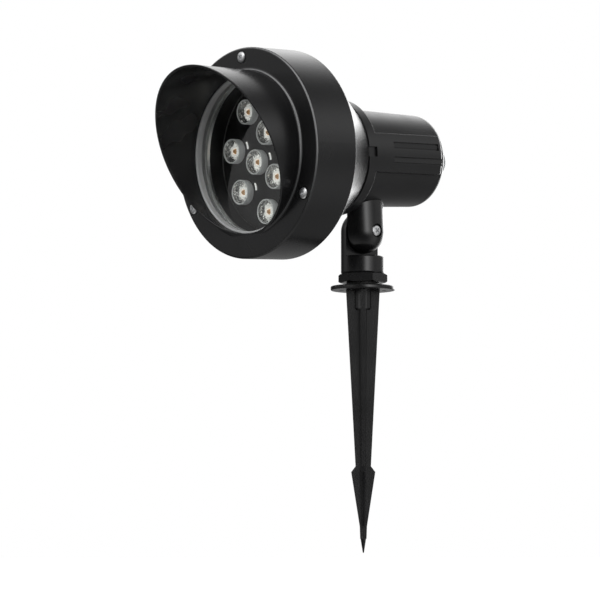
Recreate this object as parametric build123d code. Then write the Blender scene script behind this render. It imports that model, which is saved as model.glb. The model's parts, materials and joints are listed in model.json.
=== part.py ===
from build123d import *
from math import cos, hypot, radians, sin, sqrt
import os

# Garden spike spotlight: a twelve-LED lamp head on a split knuckle and a ground spike.
# Frame: the origin is the centre of the spike's flange underside, at soil level.
# +Z is up, and the lamp points along -Y with its nose a little down.
# Lengths are in millimetres and angles in degrees.

# ------------------------------------------------------------------ driving sizes
# overall places
body_above_bar = 2.1           # clearance between the knuckle's ball and the rear body
head_reach = 111.0             # tilt axis to the bezel face, along the lamp axis
head_tilt = 3.3                # nose-down angle of the head at rest
spike_turn = 48.0              # turn of the spike and its foot about Z

# clearances
run_gap = 0.06                 # radial gap of a turning fit
slip_gap = 0.2                 # radial gap of pieces pushed together
thread_gap = 0.02              # radial gap in a thread
face_gap = 0.1                 # gap between flat faces that turn on each other

# front bezel and visor
bezel_radius = 75.0
bezel_depth = 38.0
bezel_wall = 3.0               # wall of the skirt
face_wall = 3.6                # wall of the annular face
face_edge_round = 1.5
rear_edge_round = 1.8
opening_radius = 57.0          # light opening, also the visor's inside at its root
visor_wall = 1.6
visor_flare = 1.0              # growth of the visor radius from root to tip
visor_length = 52.7            # length at the top, none at the bottom
visor_root_round = 2.0
visor_rim_round = 0.5
visor_cut_rise = 0.5           # where the slanting cut leaves the face, above the visor's lowest point
bezel_screw_circle = 68.2
bezel_screw_count = 3
bezel_screw_recess = 1.2       # depth of the shallow recess under each head
bezel_recess_margin = 0.7      # recess round each head
bezel_screw_length = 14.0
bezel_screw_turn = 12.0        # each cross is turned this much further than the last

# glass and its gasket
glass_thickness = 4.0
glass_radius = 59.4
glass_setback = 6.0            # face plane to the front of the glass
gasket_lip = 1.6               # how far the gasket shows inside the opening
gasket_wall = 2.2
gasket_proud = 2.6             # how far the bead comes forward into the opening
gasket_rear_step = 0.6         # rear lip outside the front one
glass_edge = 0.4               # ground chamfer
pocket_wall = 2.4              # ring wall on the bezel that holds the gasket
pocket_over = 1.0              # pocket wall behind the gasket
retainer_boss_radius = 3.2
retainer_land = 2.0            # bottom of the retainer holes behind the face wall's rear
retainer_screw_gap = 0.5       # end of each retainer screw above the bottom of its hole
retainer_reach = 0.6           # retainer inside the opening's radius
retainer_clear = 1.0           # retainer to the skirt
retainer_thickness = 1.6
retainer_screw_count = 3

# light engine
plate_setback = 27.5           # face plane to the front of the lens plate
plate_radius = 56.6
plate_thickness = 2.0
plate_bevel = 0.6
board_inset = 0.6              # board inside the plate's radius
board_thickness = 1.6
spreader_thickness = 3.0
spreader_radius = 64.0
spreader_bite = 3.0            # how far its screws reach into the flange
baffle_wall = 1.2
lens_radius = 9.0
lens_height = 7.0
lens_well_radius = 5.4         # hollow in the back of each lens
lens_well_depth = 4.2
lens_well_dome = 1.6           # rise of the hollow's domed roof
lens_edge_round = 0.6
outer_ring_radius = 41.0
outer_ring_count = 8
outer_ring_bearing = 36.0      # bearing of the first lens, from +X towards +Z
inner_ring_radius = 16.7
inner_ring_count = 4
inner_ring_bearing = 13.5
package_side = 6.0
package_height = 1.0
package_chamfer = 0.4
chip_radius = 1.9              # round phosphor well of each LED
chip_height = 0.4

# cone housing
flange_thickness = 3.8
flange_bore = 50.0
cone_rear_step = 1.0           # cone's small end below the collar
cone_rear_ahead = 29.4         # shoulder where the collar starts, ahead of the tilt axis
cone_wall = 2.6
cone_bulkhead = 2.6
bulkhead_bore = 22.0
spigot_length = 4.6
spigot_wall = 2.4
spigot_inset = 2.8             # spigot inside the cone's small end
bulkhead_inset = 0.4           # bulkhead behind the cone's small end
post_radius = 3.5
post_thread = 20.0             # bottom of the posts' threads behind the bezel's face

# rear housing
collar_step = 6.3              # collar proud of the body
collar_width = 8.0
collar_round = 0.6
seal_thickness = 1.0
body_radius = 35.9             # just behind the collar
body_draft = 2.0               # how much smaller the body is at its rear end
body_behind = 57.5             # rear end behind the tilt axis
body_rear_round = 7.0
body_wall = 2.6
body_end_wall = 3.0
pad_half_width = 14.0          # raised grip pads on the two sides
pad_behind = 45.5              # pads' rear end behind the tilt axis
pad_rear_round = 4.0
pad_edge_round = 0.6
groove_width = 4.9
groove_offset = 5.4            # groove centre from the pad's middle line
groove_depth = 0.4             # recess between the two slots of a groove
slot_width = 1.0
slot_depth = 1.3
groove_ahead = 5.0             # grooves' front end ahead of the tilt axis
groove_behind = 40.5
notch_width = 7.2
notch_depth = 1.5
body_screw_inset = 6.4         # screw circle inside the body's radius
body_screw_count = 3
body_screw_length = 14.0
body_boss_radius = 4.0
body_boss_length = 13.0

# driver inside the rear housing
driver_size = (42.0, 47.0, 24.0)
driver_ahead = 8.0             # driver's front end ahead of the tilt axis
tray_thickness = 2.0
tray_overlap = 4.2             # how far the tray rests on each rail
rail_height = 4.0
rail_behind = 8.0              # rails' rear end behind the driver
tray_ahead = 1.0               # tray and rails start ahead of the driver
tray_clear = 1.0               # tray to the housing's wall
tray_screw_inset = 6.0         # tray screws from the driver's ends
tray_bite = 2.5                # how far the tray's screws reach into the rails
driver_round = 1.5
terminal_size = (24.0, 8.0, 12.0)
terminal_gap = 0.5             # driver to the terminals
terminal_pitch = 7.5
terminal_hole_radius = 1.8
terminal_hole_floor = 6.0      # bottom of the screw holes above the tray
lead_radius = 0.9
lead_offset = 3.0
lead_drop = 6.0
lead_slope = 24.0              # length of the slanting run
lead_level = 27.0              # level run in front of the driver
lead_bend = 30.0

# cable gland at the rear end, with no cable in it
gland_thread_radius = 8.0
gland_bore = 6.0
gland_thread_over = 0.5        # thread inside the locknut
gland_flats = 21.0
gland_hex_length = 4.7
gland_hex_corner = 1.5         # corners of the hexagon outside its flats, turned off
gland_hex_chamfer = 0.6
gland_hex_turn = 15.0
gland_seal_thickness = 0.8
gland_neck_radius = 8.5
gland_neck_length = 8.0
gland_nut_radius = 10.6
gland_nut_length = 17.0
gland_nut_round = 1.6
gland_nut_gap = 0.3            # nut to the hexagon
gland_nut_mouth = 5.6          # opening round the insert
gland_nut_lip = 2.0            # thickness of the nut's end
gland_grip_end = 5.0           # flats stop short of the nut's end
gland_insert_nose = 5.2        # radius of the insert's rear end
gland_cable_radius = 3.5
gland_locknut_length = 4.0
gland_locknut_flats = 22.0

# split knuckle
bar_radius = 16.0
split_gap = 0.9                # each flat face back from the knuckle's middle plane
tooth_height = 0.75
tooth_count = 36
tooth_inner = 8.2
tooth_margin = 1.6             # teeth end inside the bar's radius
tooth_width = 1.25
base_height = 12.9             # full round part of the base
base_step_gap = 2.1            # between the ball end and the step of the base
base_round = 1.3
arm_screw_side = 8.0           # arm screws from the middle plane
arm_screw_spread = 7.0
arm_screw_length = 16.0
arm_boss_radius = 5.0          # flat bosses under the arm screws' heads
arm_boss_rise = 3.8            # flat of each boss above the housing's inner wall

# pivot screw and nut, M4
m4_radius = 2.0
m4_head_radius = 3.9
m4_head_height = 2.6
m4_nut_flats = 7.0
m4_nut_height = 3.2
counterbore_radius = 5.0
counterbore_depth = 3.8        # from the bar's side to the seat of the head
washer_thickness = 0.8
nut_pocket_depth = 4.8         # pocket for the pivot nut, from the ear's side

# M3 screws inside
m3_radius = 1.5
m3_head_radius = 2.6
m3_head_height = 2.0

# foot, stud and ground spike
foot_flats = 31.2
foot_height = 6.3
foot_chamfer = 0.8
foot_corner_cut = 1.4          # how far the chamfer reaches in from a corner
foot_vertex = 40.0             # bearing of one corner of the hexagon
foot_washer_radius = 12.0
foot_washer_thickness = 2.6
stud_radius = 4.0
stud_below = 12.5
stud_above = 9.0               # stud inside the knuckle base
stud_chamfer = 0.6
spike_flange_radius = 23.6
spike_flange_thickness = 3.0
spike_flange_round = 0.8
spike_hole_radius = 1.6
spike_hole_circle = 15.6
spike_boss_radius = 6.35
spike_boss_length = 14.3
spike_boss_chamfer = 1.1
spike_length = 191.2
fin_root_half_width = 12.3     # at the flange
fin_waist_half_width = 5.6     # just above the barb
fin_waist_depth = 128.4
barb_half_width = 8.75
barb_depth = 132.6
fin_end_half_width = 2.63
fin_end_depth = 172.0
fin_top_thickness = 3.6
fin_low_thickness = 1.4
core_top_radius = 3.4
core_low_radius = 1.6
tip_shoulder_radius = 2.3
tip_shoulder_depth = 181.0
tip_radius = 0.5

# ------------------------------------------------------------------ worked-out places
axis_rise = body_radius + bar_radius + body_above_bar  # lamp axis above the tilt axis
collar_radius = body_radius + collar_step
cone_rear_radius = collar_radius - cone_rear_step
body_rear_radius = body_radius - body_draft
body_screw_circle = body_radius - body_screw_inset
arm_boss_height = body_radius - body_wall - arm_boss_rise
# stations along the lamp axis, back from the bezel face
cone_rear = head_reach - cone_rear_ahead
body_rear = head_reach + body_behind
pad_rear = head_reach + pad_behind
groove_front = head_reach - groove_ahead
groove_rear = head_reach + groove_behind
driver_front = head_reach - driver_ahead
gasket_rear = glass_setback + glass_thickness + gasket_wall
pocket_radius = glass_radius + gasket_wall + slip_gap
retainer_front = gasket_rear + pocket_over
retainer_rear = retainer_front + retainer_thickness
board_front = plate_setback + plate_thickness
spreader_front = board_front + board_thickness
flange_front = spreader_front + spreader_thickness
skirt_inside = bezel_radius - bezel_wall
cone_front_radius = skirt_inside - slip_gap
collar_rear = cone_rear + collar_width
spigot_end = cone_rear + spigot_length
spigot_radius = cone_rear_radius - spigot_inset
seal_end = spigot_end + seal_thickness
bulkhead_front = cone_rear + bulkhead_inset
bulkhead_rear = bulkhead_front + cone_bulkhead
body_inside = body_radius - body_wall
body_rear_inside = body_rear_radius - body_wall
end_wall_front = body_rear - body_end_wall
tray_top = -driver_size[2] / 2
tray_bottom = tray_top - tray_thickness
driver_rear = driver_front + driver_size[1]
tray_front = driver_front - tray_ahead
# heights above the soil
foot_bottom = spike_flange_thickness + foot_washer_thickness
foot_top = foot_bottom + foot_height
base_bottom = foot_top + face_gap
base_top = base_bottom + base_height
hinge_height = base_top + base_step_gap + bar_radius
tooth_outer = bar_radius - tooth_margin

CENTRE_MIN = (Align.CENTER, Align.CENTER, Align.MIN)
far = 200.0                    # past everything, for cuts


# ------------------------------------------------------------------ helpers
def ring_of(points):
    """Turn a closed outline of (radius, station) points about the lamp axis."""
    outline = make_face(Polyline(*points, close=True))
    return revolve(outline, Axis.Y)


def rod(radius, start, end, x=0.0, z=0.0):
    """A round bar along the lamp axis between two stations."""
    return Pos(x, start, z) * Rot(-90, 0, 0) * Cylinder(radius, end - start, align=CENTRE_MIN)


def side_rod(radius, start, end, y=0.0, z=0.0):
    """A round bar along X."""
    return Pos(start, y, z) * Rot(0, 90, 0) * Cylinder(radius, end - start, align=CENTRE_MIN)


def slab(x_range, y_range, z_range):
    """A block given by its limits."""
    sizes = [high - low for low, high in (x_range, y_range, z_range)]
    middle = [(high + low) / 2 for low, high in (x_range, y_range, z_range)]
    return Pos(*middle) * Box(*sizes)


def around(radius, bearing):
    """Point (x, z) at a bearing from +X towards +Z."""
    return radius * cos(radians(bearing)), radius * sin(radians(bearing))


def bearings(count, first):
    """Evenly spaced bearings."""
    return [first + 360.0 * k / count for k in range(count)]


def hexagon(flats, start, end, turn=0.0):
    """A hexagonal bar along the lamp axis."""
    outline = RegularPolygon(flats / 2, 6, major_radius=False, rotation=turn)
    return Pos(0, start, 0) * Rot(-90, 0, 0) * extrude(outline, end - start)


def screw(radius, length, head_radius, head_height):
    """A pan-head cross-recess screw along +Y, its head seated at y = 0."""
    crown = 0.35 * head_height
    head = ring_of([
        (0, -head_height), (0.55 * head_radius, -head_height + 0.1 * crown),
        (0.85 * head_radius, -head_height + 0.45 * crown), (head_radius, -head_height + crown),
        (head_radius, 0), (0, 0)])
    shank = rod(radius, 0, length)
    body = chamfer((head + shank).edges().group_by(Axis.Y)[-1], 0.25 * radius)
    blade = 0.13 * head_radius
    reach = 0.55 * head_radius
    deep = 0.6 * head_height
    for turn in (45, 135):
        arm = Box(2 * reach, 2 * deep, 2 * blade)
        body -= Pos(0, -head_height, 0) * Rot(0, turn, 0) * arm
    return body


def to_lamp(shape):
    """Carry a shape from the head's own frame, at the bezel face, to its tilted place."""
    return tilt(Pos(0, -head_reach, axis_rise) * shape)


def tilt(shape):
    """Carry a shape from the level frame at the tilt axis to its place."""
    return Pos(0, 0, hinge_height) * Rot(head_tilt, 0, 0) * shape


def at_hinge(shape):
    """Carry an upright shape from the tilt axis to its place."""
    return Pos(0, 0, hinge_height) * shape


def led_places():
    """Lens centres (x, z) of both rings."""
    outer = [around(outer_ring_radius, b) for b in bearings(outer_ring_count, outer_ring_bearing)]
    inner = [around(inner_ring_radius, b) for b in bearings(inner_ring_count, inner_ring_bearing)]
    return outer + inner


bezel_screw_bearings = bearings(bezel_screw_count, 90)
retainer_bearings = bearings(retainer_screw_count, 30)
spreader_bearings = bearings(4, 45)
body_screw_bearings = bearings(body_screw_count, 90)
retainer_screw_circle = pocket_radius + pocket_wall + retainer_boss_radius - slip_gap
spreader_screw_circle = (plate_radius + slip_gap + baffle_wall + spreader_radius) / 2


# ------------------------------------------------------------------ front bezel
def front_bezel():
    """Cast ring with its skirt, the obliquely cut visor and the gasket pocket."""
    root = opening_radius + visor_wall
    tip = root + visor_flare
    reach = visor_length + 4.0
    inner_tip = opening_radius + visor_flare
    face_r = root + visor_root_round
    edge_r = bezel_radius - face_edge_round
    rear_r = bezel_radius - rear_edge_round
    rear_s = bezel_depth - rear_edge_round
    pocket_out = pocket_radius + pocket_wall
    lines = [
        Line((opening_radius, 0), (inner_tip, -reach)),
        Line((inner_tip, -reach), (tip, -reach)),
        Line((tip, -reach), (root, -visor_root_round)),
        RadiusArc((root, -visor_root_round), (face_r, 0), visor_root_round),
        Line((face_r, 0), (edge_r, 0)),
        RadiusArc((edge_r, 0), (bezel_radius, face_edge_round), -face_edge_round),
        Line((bezel_radius, face_edge_round), (bezel_radius, rear_s)),
        RadiusArc((bezel_radius, rear_s), (rear_r, bezel_depth), -rear_edge_round),
        Polyline((rear_r, bezel_depth), (skirt_inside, bezel_depth), (skirt_inside, face_wall),
                 (pocket_out, face_wall), (pocket_out, retainer_front),
                 (pocket_radius, retainer_front), (pocket_radius, face_wall),
                 (opening_radius, face_wall), (opening_radius, 0)),
    ]
    body = revolve(make_face(lines), Axis.Y)
    # bosses behind the face for the retainer's screws
    for b in retainer_bearings:
        x, z = around(retainer_screw_circle, b)
        body += rod(retainer_boss_radius, face_wall / 2, retainer_front, x, z)
        body -= rod(m3_radius, face_wall + retainer_land, retainer_front, x, z)
    # the visor is cut by a slanting plane, from its full length at the top to nothing
    slope = visor_length / (2 * root)
    low = -root + visor_cut_rise
    high = root + 10
    cutter = Polyline((0, low), (-slope * (high - low), high), (-far, high), (-far, -far), (0, -far),
                      close=True)
    body -= extrude(Plane.YZ * make_face(cutter), far, both=True)
    # shallow recesses and clearance holes for the three bezel screws
    for b in bezel_screw_bearings:
        x, z = around(bezel_screw_circle, b)
        body -= rod(m4_head_radius + bezel_recess_margin, -1, bezel_screw_recess, x, z)
        body -= rod(m4_radius + slip_gap, -1, face_wall + 1, x, z)
    rim = [edge for edge in body.edges() if on_visor_cut(edge, slope, low)]
    return fillet(rim, visor_rim_round)


def on_visor_cut(edge, slope, low):
    """Whether an edge lies in the visor's slanting cut, ahead of the face."""
    points = [edge @ share for share in (0.02, 0.25, 0.5, 0.75, 0.98)]
    return all(abs(p.Y + slope * (p.Z - low)) < 0.01 and p.Y < -0.01 for p in points)


def bezel_screws():
    """Three zinc screws in the face, into the housing's posts."""
    one = screw(m4_radius, bezel_screw_length, m4_head_radius, m4_head_height)
    places = [around(bezel_screw_circle, b) for b in bezel_screw_bearings]
    return [Pos(x, bezel_screw_recess, z) * Rot(0, bezel_screw_turn * k, 0) * one
            for k, (x, z) in enumerate(places)]


def glass_gasket():
    """Light silicone ring of U section round the glass edge."""
    inside = opening_radius - gasket_lip
    outside = opening_radius - 0.05
    back = gasket_wall + glass_radius
    nose = face_wall - gasket_proud
    bead = outside - inside
    outline = [
        Line((outside, face_wall), (outside, nose + 0.4 * bead)),
        RadiusArc((outside, nose + 0.4 * bead), (inside, nose + 0.8 * bead), 0.62 * bead),
        Polyline((inside, nose + 0.8 * bead), (inside, glass_setback), (glass_radius, glass_setback),
                 (glass_radius, glass_setback + glass_thickness),
                 (inside + gasket_rear_step, glass_setback + glass_thickness),
                 (inside + gasket_rear_step, gasket_rear),
                 (back, gasket_rear), (back, face_wall), (outside, face_wall)),
    ]
    return revolve(make_face(outline), Axis.Y)


def front_glass():
    """Toughened glass disc with ground edges."""
    disc = rod(glass_radius, glass_setback, glass_setback + glass_thickness)
    return chamfer(disc.edges().filter_by(GeomType.CIRCLE), glass_edge)


def glass_retainer():
    """Pressed ring that holds the gasket in its pocket."""
    inside = opening_radius - retainer_reach
    outside = skirt_inside - retainer_clear
    body = ring_of([
        (inside, gasket_rear), (pocket_radius - slip_gap, gasket_rear),
        (pocket_radius - slip_gap, retainer_front), (outside, retainer_front),
        (outside, retainer_rear), (inside, retainer_rear)])
    for b in retainer_bearings:
        x, z = around(retainer_screw_circle, b)
        body -= rod(m3_radius + slip_gap, retainer_front - 1, retainer_rear + 1, x, z)
    for b in bezel_screw_bearings:
        x, z = around(bezel_screw_circle, b)
        body -= rod(post_radius + 2 * slip_gap, retainer_front - 1, retainer_rear + 1, x, z)
    return body


def retainer_screws():
    """Three small screws through the retainer, heads to the rear."""
    length = retainer_rear - face_wall - retainer_land - retainer_screw_gap
    one = Rot(0, 0, 180) * screw(m3_radius, length, m3_head_radius, m3_head_height)
    return [Pos(x, retainer_rear, z) * one
            for x, z in (around(retainer_screw_circle, b) for b in retainer_bearings)]


# ------------------------------------------------------------------ light engine
def baffle():
    """Black tube between the retainer and the heat spreader."""
    inside = plate_radius + slip_gap
    return ring_of([
        (inside, retainer_rear), (inside + baffle_wall, retainer_rear),
        (inside + baffle_wall, spreader_front), (inside, spreader_front)])


def lens_plate():
    """Dark plate that carries the lenses, with a bevelled rim."""
    body = rod(plate_radius, plate_setback, board_front)
    body = chamfer(body.edges().group_by(Axis.Y)[0], plate_bevel)
    for x, z in led_places():
        body -= rod(lens_well_radius, plate_setback - 1, board_front + 1, x, z)
    return body


def led_board():
    """Metal-core circuit board."""
    body = rod(plate_radius - board_inset, board_front, spreader_front)
    for side in (-1, 1):
        body -= rod(lead_radius + slip_gap, board_front - 1, spreader_front + 1, side * lead_offset)
    return body


def led_lenses():
    """Clear lenses, one over each LED, hollowed behind."""
    front = plate_setback - lens_height
    one = rod(lens_radius, front, plate_setback)
    one = fillet(one.edges().group_by(Axis.Y)[0], lens_edge_round)
    roof = plate_setback - lens_well_depth
    eaves = roof + lens_well_dome
    one -= rod(lens_well_radius, eaves, plate_setback + 1)
    one -= ring_of([
        (0, roof), (0.5 * lens_well_radius, roof + 0.16 * lens_well_dome), (lens_well_radius, eaves),
        (0, eaves)])
    return [Pos(x, 0, z) * one for x, z in led_places()]


def led_packages():
    """Square LED bodies on the board."""
    low = board_front - package_height
    half = package_side / 2
    one = slab((-half, half), (low, board_front), (-half, half))
    one = chamfer(one.edges().filter_by(Axis.Y), package_chamfer)
    return [Pos(x, 0, z) * one for x, z in led_places()]


def led_chips():
    """Round phosphor beads on the LED bodies."""
    rear = board_front - package_height
    one = rod(chip_radius, rear - chip_height, rear)
    one = chamfer(one.edges().group_by(Axis.Y)[0], chip_height / 2)
    return [Pos(x, 0, z) * one for x, z in led_places()]


def heat_spreader():
    """Aluminium disc behind the board."""
    body = rod(spreader_radius, spreader_front, flange_front)
    for side in (-1, 1):
        body -= rod(lead_radius + slip_gap, spreader_front - 1, flange_front + 1, side * lead_offset)
    for b in spreader_bearings:
        x, z = around(spreader_screw_circle, b)
        body -= rod(m3_radius + slip_gap, spreader_front - 1, flange_front + 1, x, z)
    return body


def spreader_screws():
    """Four screws that hold the spreader on the housing flange."""
    one = screw(m3_radius, spreader_thickness + spreader_bite, m3_head_radius, m3_head_height)
    return [Pos(x, spreader_front, z) * one
            for x, z in (around(spreader_screw_circle, b) for b in spreader_bearings)]


# ------------------------------------------------------------------ cone housing
def cone_housing():
    """Cast cone with its front flange, screw posts, bulkhead and rear spigot."""
    rear_s = bezel_depth
    run = cone_rear - rear_s
    fall = cone_front_radius - cone_rear_radius
    inward = cone_wall * hypot(run, fall) / run

    def inside(station):
        return cone_front_radius - fall * (station - rear_s) / run - inward

    flange_rear = flange_front + flange_thickness
    body = ring_of([
        (flange_bore, flange_front), (cone_front_radius, flange_front), (cone_front_radius, rear_s),
        (cone_rear_radius, cone_rear), (spigot_radius, cone_rear), (spigot_radius, spigot_end),
        (spigot_radius - spigot_wall, spigot_end), (spigot_radius - spigot_wall, bulkhead_rear),
        (bulkhead_bore, bulkhead_rear), (bulkhead_bore, bulkhead_front),
        (inside(bulkhead_front), bulkhead_front), (inside(flange_rear), flange_rear),
        (flange_bore, flange_rear)])
    for b in bezel_screw_bearings:
        x, z = around(bezel_screw_circle, b)
        body += rod(post_radius, face_wall + face_gap, flange_front + 1, x, z)
        body -= rod(m4_radius, face_wall - 1, post_thread, x, z)
    for b in spreader_bearings:
        x, z = around(spreader_screw_circle, b)
        body -= rod(m3_radius, flange_front - 1, flange_front + spreader_bite + slip_gap, x, z)
    for b in body_screw_bearings:
        x, z = around(body_screw_circle, b)
        body -= rod(m4_radius + slip_gap, bulkhead_front - 1, bulkhead_rear + 1, x, z)
    return body


def collar_seal():
    """Flat seal between the cone's spigot and the rear housing."""
    return ring_of([
        (spigot_radius - spigot_wall, spigot_end), (spigot_radius, spigot_end),
        (spigot_radius, seal_end), (spigot_radius - spigot_wall, seal_end)])


def body_screws():
    """Three screws through the bulkhead into the rear housing."""
    one = screw(m4_radius, body_screw_length, m4_head_radius, m4_head_height)
    return [Pos(x, bulkhead_front, z) * one
            for x, z in (around(body_screw_circle, b) for b in body_screw_bearings)]


# ------------------------------------------------------------------ rear housing
def body_outer_radius(station):
    """Outside radius of the drafted rear body."""
    part = (station - collar_rear) / (body_rear - collar_rear)
    return body_radius + (body_rear_radius - body_radius) * part


def side_pads():
    """Raised grip pads on both sides, flush with the collar, each with two grooves."""
    square = ring_of([
        (body_inside, seal_end), (collar_radius, seal_end), (collar_radius, pad_rear),
        (body_inside - 1, pad_rear)])
    square = fillet(square.edges().filter_by(GeomType.CIRCLE).sort_by(Axis.Y)[-2:].sort_by(
        SortBy.LENGTH)[-1], pad_rear_round)
    strip = slab((-50, 50), (seal_end, pad_rear), (-pad_half_width, pad_half_width))
    pads = square & strip
    long_edges = pads.edges().filter_by(Axis.Y).filter_by(lambda edge: abs(edge.center().X) > body_radius)
    pads = fillet(long_edges, pad_edge_round)
    for side in (-1, 1):
        for row, rear in ((1, groove_rear), (-1, pad_rear + 1)):
            middle = row * groove_offset
            pads -= side_cut(side, groove_depth, groove_front, rear, middle, groove_width)
            for edge in (-1, 1):
                line = middle + edge * (groove_width - slot_width) / 2
                pads -= side_cut(side, slot_depth, groove_front, rear, line, slot_width)
    return pads


def side_cut(side, depth, front, rear, height, width):
    """A straight cut into the side of the collar and pads, to a depth below their radius."""
    floor = sqrt(collar_radius ** 2 - (abs(height) + width / 2) ** 2) - depth
    return slab(sorted((side * floor, side * far)), (front, rear), (height - width / 2, height + width / 2))


def rear_housing():
    """Moulded cup with collar, side pads, bosses, rails and the gland hole."""
    rear_flat = body_rear_radius - body_rear_round
    arc_start = body_rear - body_rear_round
    corner = body_outer_radius(arc_start)
    lines = [
        Polyline((spigot_radius + face_gap, cone_rear), (collar_radius - collar_round, cone_rear)),
        RadiusArc((collar_radius - collar_round, cone_rear), (collar_radius, cone_rear + collar_round),
                  -collar_round),
        Line((collar_radius, cone_rear + collar_round), (collar_radius, collar_rear - collar_round)),
        RadiusArc((collar_radius, collar_rear - collar_round), (collar_radius - collar_round, collar_rear),
                  -collar_round),
        Line((collar_radius - collar_round, collar_rear), (body_radius, collar_rear)),
        Line((body_radius, collar_rear), (corner, arc_start)),
        Spline((corner, arc_start), (rear_flat, body_rear),
               tangents=((body_rear_radius - body_radius, body_rear - collar_rear), (-1, 0)),
               tangent_scalars=(1.2, 1.2)),
        Polyline((rear_flat, body_rear), (gland_thread_radius + slip_gap, body_rear),
                 (gland_thread_radius + slip_gap, end_wall_front),
                 (rear_flat, end_wall_front), (body_rear_inside, arc_start),
                 (body_inside, seal_end), (spigot_radius + face_gap, seal_end),
                 (spigot_radius + face_gap, cone_rear)),
    ]
    shell = revolve(make_face(lines), Axis.Y)
    cavity = ring_of([
        (0, seal_end), (body_inside, seal_end), (body_rear_inside, arc_start), (rear_flat, end_wall_front),
        (0, end_wall_front)])
    body = shell + (side_pads() - cavity)
    # a notch through the collar on each side
    for side in (-1, 1):
        body -= side_cut(side, notch_depth, cone_rear - 1, collar_rear - collar_round, 0, notch_width)
    # bosses for the body screws
    for b in body_screw_bearings:
        x, z = around(body_screw_circle, b)
        body += rod(body_boss_radius, bulkhead_rear, bulkhead_rear + body_boss_length, x, z) - rod(
            m4_radius, bulkhead_rear - 1, bulkhead_rear + body_boss_length - 1, x, z)
    # rails under the driver tray
    rail_inside = tray_half_width() - tray_overlap
    rails = slab((-body_inside, body_inside), (tray_front, driver_rear + rail_behind),
                 (tray_bottom - rail_height, tray_bottom))
    rails -= slab((-rail_inside, rail_inside), (0, far), (-far, far))
    envelope = ring_of([
        (0, seal_end), (body_inside + 0.5, seal_end), (body_rear_inside + 0.5, arc_start), (0, arc_start)])
    body += rails & envelope
    for x, station in tray_screw_places():
        body -= Pos(x, station, tray_bottom - tray_bite - 0.5) * Cylinder(m3_radius, 10, align=CENTRE_MIN)
    # flat bosses inside for the arm's screws, and their holes
    for shift in (-1, 1):
        station = head_reach + shift * arm_screw_spread
        pillar = Pos(arm_screw_side, station, -body_radius) * Cylinder(
            arm_boss_radius, body_radius - arm_boss_height, align=CENTRE_MIN)
        body += pillar & envelope
        drill = Cylinder(m4_radius + slip_gap, far - arm_boss_height + 1, align=CENTRE_MIN)
        body -= Pos(arm_screw_side, station, -far) * drill
    return body


def tray_half_width():
    """Half the width of the tray, clear of the drafted wall at its rear end."""
    inside = body_rear_inside + 0.3
    return sqrt(inside ** 2 - tray_bottom ** 2) - tray_clear


def driver_tray():
    """Aluminium tray that slides on the rails and carries the driver and terminals."""
    half = tray_half_width()
    rear = driver_rear + 2 * terminal_gap + terminal_size[1]
    body = slab((-half, half), (tray_front, rear), (tray_bottom, tray_top))
    for x, station in tray_screw_places():
        body -= Pos(x, station, tray_bottom - 1) * Cylinder(m3_radius + slip_gap, 10, align=CENTRE_MIN)
    return body


def tray_screw_places():
    """Places (x, station) of the tray's screws, over the rails."""
    x = tray_half_width() - tray_overlap / 2 - 0.4
    return [(side * x, station) for side in (-1, 1) for station in (
        driver_front + tray_screw_inset, driver_rear - tray_screw_inset)]


def tray_screws():
    """Four screws that hold the tray on its rails."""
    one = Rot(-90, 0, 0) * screw(m3_radius, tray_thickness + tray_bite, m3_head_radius, m3_head_height)
    return [Pos(x, station, tray_top) * one for x, station in tray_screw_places()]


def led_driver():
    """Potted constant-current driver."""
    half_x = driver_size[0] / 2
    half_z = driver_size[2] / 2
    body = slab((-half_x, half_x), (driver_front, driver_rear), (-half_z, half_z))
    return fillet(body.edges().filter_by(Axis.Y), driver_round)


def terminal_block():
    """Mains terminal block behind the driver."""
    half = terminal_size[0] / 2
    low = driver_rear + terminal_gap
    body = slab((-half, half), (low, low + terminal_size[1]), (tray_top, tray_top + terminal_size[2]))
    for k in (-1, 0, 1):
        hole = Cylinder(terminal_hole_radius, terminal_size[2], align=CENTRE_MIN)
        body -= Pos(terminal_pitch * k, low + terminal_size[1] / 2, tray_top + terminal_hole_floor) * hole
    return body


def lead_wires():
    """Two leads from the board to the driver, through the spreader."""
    wires = []
    for side in (-1, 1):
        x = side * lead_offset
        route = FilletPolyline((x, board_front, 0), (x, driver_front - lead_level - lead_slope, 0),
                               (x, driver_front - lead_level, -lead_drop), (x, driver_front, -lead_drop),
                               radius=lead_bend)
        section = Plane(origin=route @ 0, z_dir=route % 0) * Circle(lead_radius)
        wires.append(sweep(section, path=route))
    return wires


# ------------------------------------------------------------------ cable gland
def gland_hex_front():
    """Station where the gland's hexagon starts."""
    return body_rear + gland_seal_thickness


def gland_seal():
    """Flat seal under the gland."""
    return ring_of([
        (gland_thread_radius + slip_gap, body_rear), (gland_flats / 2, body_rear),
        (gland_flats / 2, gland_hex_front()), (gland_thread_radius + slip_gap, gland_hex_front())])


def gland_body():
    """Gland body with its hexagon, neck and the thread through the housing's end wall."""
    front = gland_hex_front()
    hex_rear = front + gland_hex_length
    corner = gland_flats / 2 + gland_hex_corner
    flat = corner - gland_hex_chamfer
    body = hexagon(gland_flats, front, hex_rear, turn=gland_hex_turn)
    body &= ring_of([
        (0, front), (flat, front), (corner, front + gland_hex_chamfer),
        (corner, hex_rear - gland_hex_chamfer), (flat, hex_rear), (0, hex_rear)])
    body += rod(gland_thread_radius, end_wall_front - gland_locknut_length - gland_thread_over, front + 1)
    body += rod(gland_neck_radius, hex_rear - 1, hex_rear + gland_neck_length)
    return body - rod(gland_bore, 0, far + far)


def gland_nut_front():
    """Station where the clamping nut starts."""
    return gland_hex_front() + gland_hex_length + gland_nut_gap


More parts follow.
